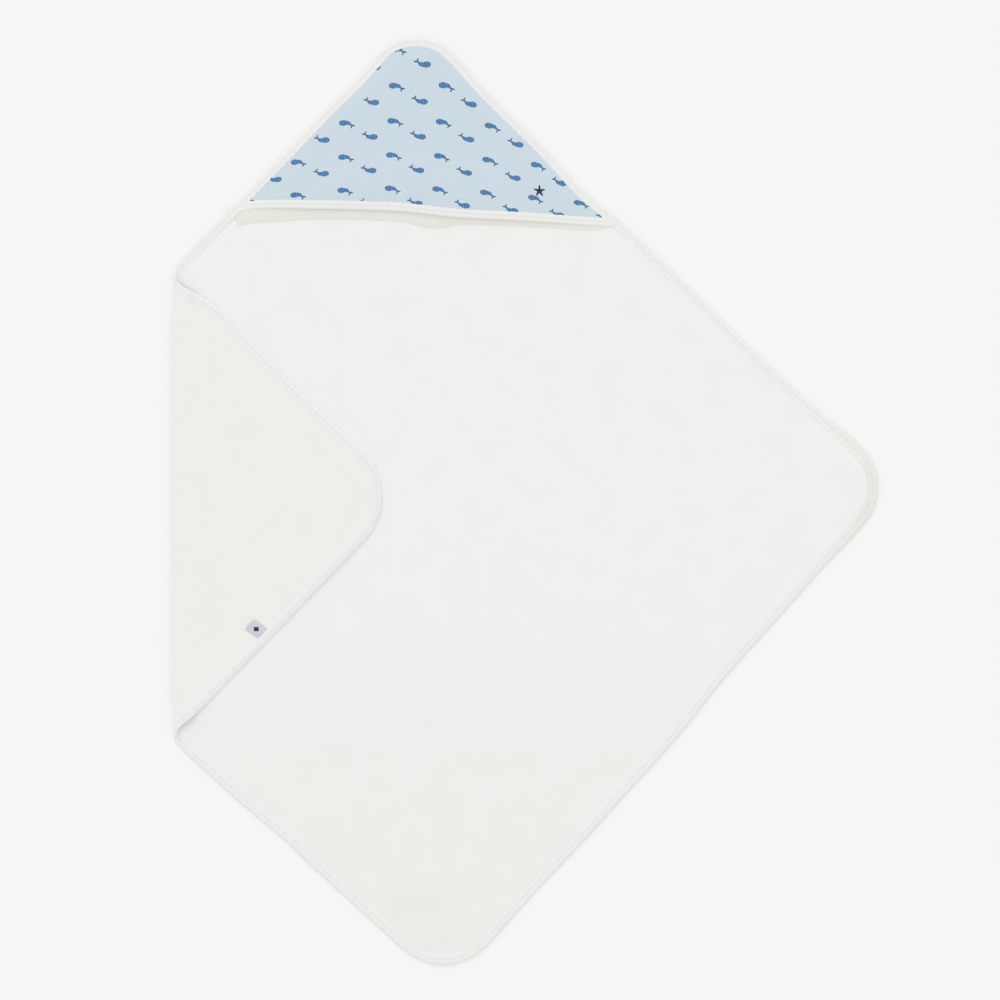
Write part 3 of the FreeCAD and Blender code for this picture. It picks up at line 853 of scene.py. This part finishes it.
def stitches(name, points, directions, normals, material,
             radius=THREAD_RADIUS, length=STITCH_LENGTH):
    """Short rounded stitches centred on points, along directions, their ends sunk in a surface."""
    directions, normals = unit(directions), unit(normals)
    asides = unit(np.cross(directions, normals))
    lengths = np.broadcast_to(np.asarray(length, float), len(points))[:, None]
    corners, flats = [], []
    for share, girth in STITCH_RINGS:
        sunk = radius * (0.15 - 1.1 * share ** 2)
        middles = points + directions * (share * lengths) + normals * sunk
        for angle in 2 * math.pi * np.arange(STITCH_SIDES) / STITCH_SIDES:
            out = asides * math.cos(angle) + normals * math.sin(angle)
            corners.append(middles + out * (radius * girth))
            flats.append((share * STITCH_LENGTH, angle * radius))
    pattern = [(face[0], *face[:0:-1]) for face in tube_faces(len(STITCH_RINGS), STITCH_SIDES)]
    faces = [tuple(corner + start for corner in face)
             for start in range(0, len(points) * len(corners), len(corners)) for face in pattern]
    places = np.stack(corners, 1).reshape(-1, 3)
    return make_mesh(name, places, faces, np.tile(np.array(flats), (len(points), 1)), [material])


def upwards(count):
    """That many unit vectors straight up."""
    return np.tile([0.0, 0.0, 1.0], (count, 1))


def stitch_rows(name, along, line, inwards, row_at):
    """A row of stitches on the upper and one on the under side of a tape, over stations along it."""
    centres = np.arange(along[0] + STITCH_PITCH / 2, along[-1], STITCH_PITCH)
    line, inwards = between(centres, along, line), unit(between(centres, along, inwards))
    rows = [row_at(line, inwards, centres, side) for side in (1, -1)]
    return stitches(name, *(np.concatenate(parts) for parts in zip(*rows)), WHITE_THREAD)


def tape_stitches(name, chosen):
    """Stitch rows in the tape's groove over a stretch of the edge."""
    def row_at(flat, inwards, centres, side):
        out, lift = tape_offset(flat, centres % EDGE_LENGTH, GROOVE_IN, side * GROOVE_HEIGHT)
        line = flat + inwards * out[:, None]
        place, normal = lay_with_normals(line)
        ahead = lay(line - left_of(inwards) * MM)
        base = edge_lift(flat)
        raised = place + normal * lift[:, None] + base[:, None] * [0, 0, 1]
        return raised, ahead - place, normal * side

    along = np.unwrap(EDGE_ALONG[chosen], period=EDGE_LENGTH)
    return stitch_rows(name, along, EDGE_POINTS[chosen], EDGE_INWARDS[chosen], row_at)


def edge_tape():
    """The tape and its stitches: along the main panel, round each end of the fold, and on the flap."""
    past = FOLD_START_X - EDGE_POINTS[:, 0]
    on_main = past < -WRAP_REACH
    on_flap = past > FOLD_LENGTH + WRAP_REACH
    index = np.arange(len(past))
    first_main, last_main = index[on_main][0], index[on_main][-1]
    first_flap, last_flap = index[on_flap][0], index[on_flap][-1]
    stretches = {
        "main": index[first_main:last_main + 1],
        "fold_top": index[last_main:first_flap + 1],
        "flap": index[first_flap:last_flap + 1],
        "fold_bottom": np.concatenate([index[last_flap:], index[:first_main + 1]]),
    }
    riders = {"main": "towel", "flap": "corner_flap"}
    nodes = {"main": ("edge_binding_main", "edge_topstitch_main"),
             "flap": ("edge_binding_flap", "edge_topstitch_flap")}
    made = []
    for name, chosen in stretches.items():
        tape = tape_piece("edge_tape_" + name, chosen)
        rows = tape_stitches("edge_stitches_" + name, chosen)
        for piece, slot in ((tape, "edge_tape"), (rows, "thread")):
            if name in riders:
                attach(piece, riders[name])
            else:
                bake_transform(piece)
            made.append(piece)
        if name in nodes:
            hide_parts(nodes[name][0])
            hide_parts(nodes[name][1])
    return made


# ---- Hood ----
HOOD_CORNER_RADIUS = CUT_CORNERS[0][1]
HOOD_GRID = 2.5 * MM
HOOD_EDGE_INSET = 7.0 * MM
HOOD_SEAM_WIDTH = 8 * MM
HOOD_SEAM_Z = 2.8 * MM
HOOD_REST_Z = 4.5 * MM
HOOD_RIPPLE = 0.35 * MM
MOUTH_PUFF = 3.5 * MM
# Where the mouth lifts: X, reach along it, and height in millimetres
MOUTH_LIFTS = [(-0.250, 0.045, 0.7), (-0.060, 0.050, 1.0), (0.040, 0.030, 0.6)]
MOUTH_DROOP = 0.7 * MM
PRINT_THICKNESS = 0.8 * MM
LINING_THICKNESS = 1.2 * MM
PRINT_ABOVE_MIDDLE = 0.6 * MM
LINING_BELOW_MIDDLE = 0.4 * MM
PRINT_UNDER_HEM = 1.5 * MM
LINING_UNDER_HEM = 1.8 * MM
LINING_LOWEST_Z = 3.35 * MM
LINING_EDGE_SINK = 0.75 * MM
HEM_WIDTH = 9.3 * MM


def mouth_line(x):
    """The mouth's edge, as a height in Y: it climbs at its left end, then eases down to the right."""
    past_left = (x + 0.300) / MM
    fall = 0.01385 * past_left + 6.1e-5 * past_left ** 2
    step = 5.0 * smooth_step((x + 0.150) / 0.090)
    bend = np.maximum(x, -0.312)
    climb = 10.0 * np.exp(-(bend + 0.318) / 0.010) + 0.55 * (bend - x) / MM
    return (320.5 - fall - step - climb) * MM


def seam_distances(flat):
    """Distances in from the hood's left and right sides."""
    return line_distance(flat, HOOD_CORNER, FOLD_TOP), line_distance(flat, RIGHT_CORNER, HOOD_CORNER)


def edge_distance(flat):
    """Distance in from the towel's rounded edge, anywhere on the hood."""
    return corner_inset(flat, HOOD_CORNER, RIGHT_CORNER, FOLD_TOP, HOOD_CORNER_RADIUS)[0]


def hood_middle(flat):
    """Height of the middle of the hood's two layers: low at the seams, puffed behind the mouth."""
    seam = edge_distance(flat)
    inside = smooth_step((seam - HOOD_SEAM_WIDTH) / (16 * MM))
    from_mouth = flat[:, 1] - mouth_line(flat[:, 0])
    puff = MOUTH_PUFF * smooth_step((seam - HOOD_SEAM_WIDTH) / 0.095) * bump((from_mouth - 0.030) / 0.035)
    lifts = sum(rise * MM * bump((flat[:, 0] - place) / reach) for place, reach, rise in MOUTH_LIFTS)
    wave = HOOD_RIPPLE * ripple(flat * 1.6 + 0.7) * smooth_step((seam - 10 * MM) / (40 * MM))
    opened = (lifts - MOUTH_DROOP * bump(from_mouth / 0.008)) * inside * bump(from_mouth / 0.030)
    return HOOD_SEAM_Z + (HOOD_REST_Z - HOOD_SEAM_Z) * inside + puff + opened + wave


def across_hood(x_values, offset=0.0):
    """Points of a line that runs at an offset above the mouth's edge."""
    return np.stack([x_values, mouth_line(x_values) + offset], 1)


def mouth_ends():
    """X of the mouth's left end, its crossing of the centre line, and its right end."""
    x_values = np.linspace(-0.34, 0.12, 4601)
    line = across_hood(x_values)
    left, right = seam_distances(line)
    middle = np.argmin(np.abs(left - right))
    outside = np.flatnonzero(edge_distance(line) < HOOD_EDGE_INSET)
    first = outside[outside < middle][-1] + 1
    last = outside[outside > middle][0] - 1
    return x_values[first], x_values[middle], x_values[last]


MOUTH_LEFT, MOUTH_MIDDLE, MOUTH_RIGHT = mouth_ends()
HALVES = {
    "left": (MOUTH_LEFT, HOOD_CORNER, FOLD_TOP),
    "right": (MOUTH_RIGHT, RIGHT_CORNER, HOOD_CORNER),
}


def print_edge(x):
    """Where the print stops, measured up from the mouth's edge: inside the hem."""
    return np.full(np.shape(x), PRINT_UNDER_HEM)


def lining_edge(x):
    """Where the lining stops: it shows below the hem as an uneven strip that closes at both ends. The
    lining is real, but this strip and its darker cream stand in for the shade below the hem: painted shade.
    """
    shown = 5.5 + 5.0 * smooth_step((-0.062 - x) / 0.030)
    shown = shown + 4.0 * bump((x + 0.104) / 0.022) + 5.0 * bump((x + 0.295) / 0.045)
    ends = smooth_step((x - MOUTH_LEFT) / 0.012) * smooth_step((MOUTH_RIGHT - x) / 0.035)
    return -shown * ends * MM


def print_heights(flat):
    """Height of the middle of the print's knit."""
    return hood_middle(flat) + PRINT_ABOVE_MIDDLE


def lining_heights(flat):
    """Height of the middle of the lining: it runs under the hem and lies down on the towel."""
    from_mouth = flat[:, 1] - mouth_line(flat[:, 0])
    free = hood_middle(flat) - LINING_BELOW_MIDDLE
    room = np.clip(free - LINING_LOWEST_Z, 0, LINING_UNDER_HEM)
    under = free - room * smooth_step((14 * MM - from_mouth) / (6 * MM))
    down = smooth_step(-from_mouth / (8 * MM))
    laid = under + (np.minimum(under, LINING_LOWEST_Z) - under) * down
    from_edge = from_mouth - lining_edge(flat[:, 0])
    return laid - LINING_EDGE_SINK * (1 - smooth_step(from_edge / (5 * MM))) * down


def hood_boundary(side, edge_at):
    """Outline of one half of the hood: along the mouth, up the side to the apex, down the middle."""
    end_x = HALVES[side][0]
    sign = 1 if side == "right" else -1
    x_values = np.linspace(MOUTH_MIDDLE, end_x, int(abs(end_x - MOUTH_MIDDLE) / HOOD_GRID))
    mouth = across_hood(x_values, edge_at(x_values))
    points, inwards = edge_path(CUT_CORNERS, HOOD_GRID)
    edge = points + inwards * HOOD_EDGE_INSET
    left, right = seam_distances(edge)
    mouth_x = np.clip(edge[:, 0], MOUTH_LEFT, MOUTH_RIGHT)
    above = edge[:, 1] > mouth_line(mouth_x) + np.maximum(edge_at(mouth_x), 0) + MM
    nearer = (left - right) * sign > MM
    edge = edge[above & nearer & (edge[:, 0] > FOLD_START_X)]
    edge = edge[np.argsort(edge[:, 1])]
    centre, into, out = round_centre(HOOD_CORNER, RIGHT_CORNER, FOLD_TOP, HOOD_CORNER_RADIUS)
    apex = centre - unit(into + out) * (HOOD_CORNER_RADIUS - HOOD_EDGE_INSET)
    foot = mouth[0]
    middle_count = int(np.linalg.norm(apex - foot) / HOOD_GRID)
    middle = apex + (foot - apex) * np.linspace(0, 1, middle_count)[:, None]
    outline = np.concatenate([mouth, edge, middle[:-1]])
    return outline if side == "right" else outline[::-1]


def blend_hood(piece, side):
    """Bake the piece's placement into its mesh. The start of its seam line is worked out but not used."""
    _, first, second = HALVES[side]
    inwards = left_of(unit(np.subtract(second, first)))
    start = np.array(first) + inwards * TAPE_WIDTH
    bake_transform(piece)
    return piece


def hood_sheet(name, side, heights, edge_at, thickness, materials):
    """One half of a layer of the hood."""
    boundary = hood_boundary(side, edge_at)
    low, high = boundary.min(0), boundary.max(0)
    flat, faces = fill_outline(boundary, np.arange(low[0], high[0], HOOD_GRID),
                               np.arange(low[1], high[1], HOOD_GRID), HOOD_GRID)
    places = np.column_stack([pulled(flat), heights(flat)])
    sheet = thicken(make_mesh(name, places, faces, flat, materials), thickness)
    return blend_hood(sheet, side)


def hem_stations(side):
    """Stations along the mouth on one side: places, unit vectors into the hood, and their X."""
    ends = sorted((MOUTH_MIDDLE, HALVES[side][0]))
    x_values = np.linspace(*ends, int((ends[1] - ends[0]) / TAPE_STEP))
    reach = 0.5 * MM
    ahead = unit(across_hood(x_values + reach) - across_hood(x_values - reach))
    return across_hood(x_values), left_of(ahead), x_values


def hem_point(line, inwards, along, distance, height):
    """Places of a line of the hem's section."""
    pucker = np.sin(2 * math.pi * along / (8.1 * MM) + 2.0 * np.sin(along / 0.027))
    slow = np.sin(along / 0.041)
    inner = smooth_step((distance / MM - 5) / 5)
    out = distance * HEM_WIDTH / TAPE_WIDTH + 0.2 * MM * inner * (pucker + slow)
    flat = line + inwards * out[:, None]
    caught = 1 - smooth_step((edge_distance(flat) - 7 * MM) / (12 * MM))
    lift = height * (1 + 0.06 * pucker + 0.05 * slow) * (1 - 0.15 * caught)
    return np.column_stack([pulled(flat), hood_middle(flat) + lift])


def hood_hem(side):
    """The tape over one half of the mouth's edge, and its stitches."""
    line, inwards, along = hem_stations(side)
    tape = tape_tube("hood_hem_" + side, along,
                     lambda distance, height: hem_point(line, inwards, along, distance, height))
    blend_hood(tape, side)

    def row_at(at_line, at_inwards, centres, face):
        groove = (at_inwards, centres, GROOVE_IN, face * GROOVE_HEIGHT)
        place = hem_point(at_line, *groove)
        ahead = hem_point(at_line - left_of(at_inwards) * MM, *groove)
        return place, ahead - place, upwards(len(centres)) * face

    rows = stitch_rows("hood_hem_stitches_" + side, along, line, inwards, row_at)
    blend_hood(rows, side)
    return tape, rows


def hood():
    """The hood's print, lining and hem, each in halves that meet on its centre line."""
    made = []
    for side in HALVES:
        tape, rows = hood_hem(side)
        upper = hood_sheet("hood_print_" + side, side, print_heights, print_edge,
                           PRINT_THICKNESS, [PRINT, BACK, BACK])
        lower = hood_sheet("hood_lining_" + side, side, lining_heights, lining_edge,
                           LINING_THICKNESS, [LINING, LINING, LINING])
        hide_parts("hood_print_panel", "hood_seam_allowance")
        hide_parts("hood_lining")
        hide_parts("hood_hem_binding")
        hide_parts("hood_hem_topstitch")
        made.append((side, upper, lower, tape, rows))
    return made


# ---- Emblem ----
EMBLEM_LOW, EMBLEM_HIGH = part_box("hood_emblem")
EMBLEM_PLACE = np.array([(EMBLEM_LOW.x + EMBLEM_HIGH.x) / 2, EMBLEM_LOW.y + 5.5 * MM])
EMBLEM_ARM = 6.8 * MM
EMBLEM_ARMS = 5
EMBLEM_ROW = 0.36 * MM
EMBLEM_THREAD = 0.22 * MM
UNDERLAY_THICKNESS = 0.3 * MM
UNDERLAY_ABOVE = 0.1 * MM


def print_top(flat):
    """Height of the print's upper side."""
    return hood_middle(flat) + PRINT_ABOVE_MIDDLE + PRINT_THICKNESS / 2


def arm_half_width(share):
    """Half width of a starfish arm, from its root at 0 to its rounded tip at 1."""
    return 1.75 * MM * (1 - share) ** 0.55 * (0.72 + 0.28 * (1 - share))


def emblem():
    """A navy starfish in satin stitch over a padded underlay."""
    places, directions, lengths = [], [], []
    for number in range(EMBLEM_ARMS):
        angle = math.radians(90 + number * 360 / EMBLEM_ARMS)
        out = np.array([math.cos(angle), math.sin(angle)])
        aside = left_of(out)
        for distance in np.arange(0.9 * MM, EMBLEM_ARM - 0.15 * MM, EMBLEM_ROW):
            places.append(EMBLEM_PLACE + out * distance)
            directions.append((*aside, 0))
            lengths.append(2 * arm_half_width(distance / EMBLEM_ARM) + 0.2 * MM)
    flat = np.array(places)
    middles = np.column_stack([pulled(flat), print_top(flat) + EMBLEM_THREAD])
    threads = stitches("emblem_stitches", middles, np.array(directions), upwards(len(flat)),
                       NAVY_THREAD, EMBLEM_THREAD, np.array(lengths))

    around = np.linspace(0, 2 * math.pi, 120, endpoint=False)
    swell = 0.5 + 0.5 * np.cos(EMBLEM_ARMS * (around - math.pi / 2))
    radius = (1.6 + 4.9 * swell ** 2.2) * MM
    rim = EMBLEM_PLACE + np.stack([np.cos(around), np.sin(around)], 1) * radius[:, None]
    flat = np.concatenate([[EMBLEM_PLACE], rim])
    places = np.column_stack([pulled(flat), print_top(flat) + UNDERLAY_ABOVE])
    faces = [(0, spot + 1, (spot + 1) % len(around) + 1) for spot in range(len(around))]
    underlay = thicken(make_mesh("emblem_underlay", places, faces, flat, [NAVY_THREAD] * 3),
                       UNDERLAY_THICKNESS)
    for piece in (threads, underlay):
        blend_hood(piece, "right")
        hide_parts("hood_emblem")
    return threads, underlay


# ---- Label ----
LABEL_WIDTH = 14.0 * MM
LABEL_LENGTH = 17.0 * MM
LABEL_THICKNESS = 0.5 * MM
LABEL_FROM_TIP = 220.6 * MM
LABEL_TUCK = 0.5 * MM
LABEL_SKEW = 0.14
LABEL_ROOT_RISE = 1.45 * MM
MARK_HALF = 3.4 * MM
MARK_ROW = 0.36 * MM
MARK_THREAD = 0.2 * MM
MARK_ABOVE = 0.1 * MM

# Distances in from the ribbon's seam of two points that label() lays but does not use
LABEL_BEND_START = 0.8 * MM
LABEL_BEND_END = 5.0 * MM


def label_frame():
    """The label's root on the cut, and unit vectors along the seam and inwards."""
    tip, fold = np.array(CUT_TIP), np.array(FOLD_BOTTOM)
    along = unit(fold - tip)
    inwards = left_of(along)
    return tip + along * LABEL_FROM_TIP + inwards * (TAPE_WIDTH - LABEL_TUCK), along, inwards


def label_places(aside, inward, above=0.0):
    """Places on the label: across it, in from its seam, and above its middle."""
    root, along, inwards = label_frame()
    flat = root + along * (aside + LABEL_SKEW * inward)[:, None] + inwards * inward[:, None]
    place, normal = lay_with_normals(flat)
    share = inward / LABEL_LENGTH
    rise = LABEL_ROOT_RISE + 0.5 * MM * smooth_step(share * 4) + 0.9 * MM * share ** 2
    rise = rise + 0.25 * MM * np.sin(aside / LABEL_WIDTH * 5 + 1) * share
    return place - normal * (rise + above)[:, None]


def label():
    """The ribbon label, its free end lifting a little, and its woven diamond."""
    columns, rows = 15, 18
    aside, inward = np.meshgrid(np.linspace(-0.5, 0.5, columns) * LABEL_WIDTH,
                                np.linspace(0, 1, rows) * LABEL_LENGTH)
    places = label_places(aside.ravel(), inward.ravel())
    flat = np.column_stack([aside.ravel(), inward.ravel()])
    faces = [(row * columns + spot, row * columns + spot + 1,
              (row + 1) * columns + spot + 1, (row + 1) * columns + spot)
             for row in range(rows - 1) for spot in range(columns - 1)]
    ribbon = thicken(make_mesh("label_ribbon", places, faces, flat, [LABEL] * 3), LABEL_THICKNESS)

    offsets = np.arange(-MARK_HALF + MARK_ROW / 2, MARK_HALF, MARK_ROW)
    up, above = LABEL_LENGTH / 2 + offsets, LABEL_THICKNESS / 2 + MARK_ABOVE
    middles = label_places(np.zeros(len(up)), up, above)
    besides = label_places(np.full(len(up), MM), up, above)
    lengths = 2 * (MARK_HALF - np.abs(offsets)) + 0.25 * MM
    mark = stitches("label_mark", middles, besides - middles, upwards(len(up)),
                    NAVY_THREAD, MARK_THREAD, lengths)
    root, _, inwards = label_frame()
    start, end = lay(np.array([root + inwards * LABEL_BEND_START, root + inwards * LABEL_BEND_END]))
    for piece, slot, node in ((ribbon, "label", "woven_label"), (mark, "emblem", "label_motif")):
        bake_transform(piece)
        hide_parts(node)
    return ribbon, mark


# ---- Camera, floor and light ----
CAMERA_LENS = 80.0
CAMERA_SENSOR = 36.0
CAMERA_HEIGHT = 2.437
CAMERA_OVER = (-0.0269, 0.0005)
FLOOR_HALF = 40.0
FLOOR_COLOUR = (0.94, 0.94, 0.94, 1)
SURROUND_LIGHT = 0.904
KEY_LIGHT = 0.45
KEY_WIDTH = 30
KEY_FROM = (-0.30, 1.45, 1.0)


def camera():
    """Straight above the laid towel, +Y upwards."""
    data = bpy.data.cameras.new("camera")
    data.lens = CAMERA_LENS
    data.sensor_width = CAMERA_SENSOR
    obj = bpy.data.objects.new("camera", data)
    obj.location = (*CAMERA_OVER, CAMERA_HEIGHT)
    bpy.context.scene.collection.objects.link(obj)
    bpy.context.scene.camera = obj


def floor():
    """A plain pale table top, far wider than the towel."""
    signs = ((-1, -1), (1, -1), (1, 1), (-1, 1))
    obj = make_mesh("floor", [(x * FLOOR_HALF, y * FLOOR_HALF, 0) for x, y in signs], [(0, 1, 2, 3)])
    material = bpy.data.materials.new("floor")
    material.use_nodes = True
    shader = material.node_tree.nodes["Principled BSDF"]
    shader.inputs["Base Color"].default_value = FLOOR_COLOUR
    shader.inputs["Roughness"].default_value = 1.0
    shader.inputs["Specular IOR Level"].default_value = 0.0
    obj.data.materials.append(material)


def lights():
    """An even white surround, with a broad soft light from beyond the hood."""
    world = bpy.data.worlds.new("surround")
    world.use_nodes = True
    world.node_tree.nodes["Background"].inputs[0].default_value = (1, 1, 1, 1)
    world.node_tree.nodes["Background"].inputs[1].default_value = SURROUND_LIGHT
    bpy.context.scene.world = world
    data = bpy.data.lights.new("key", "SUN")
    data.energy = KEY_LIGHT
    data.angle = math.radians(KEY_WIDTH)
    key = bpy.data.objects.new("key", data)
    key.rotation_euler = Vector(KEY_FROM).to_track_quat("Z", "Y").to_euler()
    bpy.context.scene.collection.objects.link(key)
    bpy.context.scene.view_settings.view_transform = "Standard"


camera()
floor()
lights()
cloth = towel_cloth()
tapes = edge_tape()
hood_pieces = hood()
emblem_pieces = emblem()
label_pieces = label()
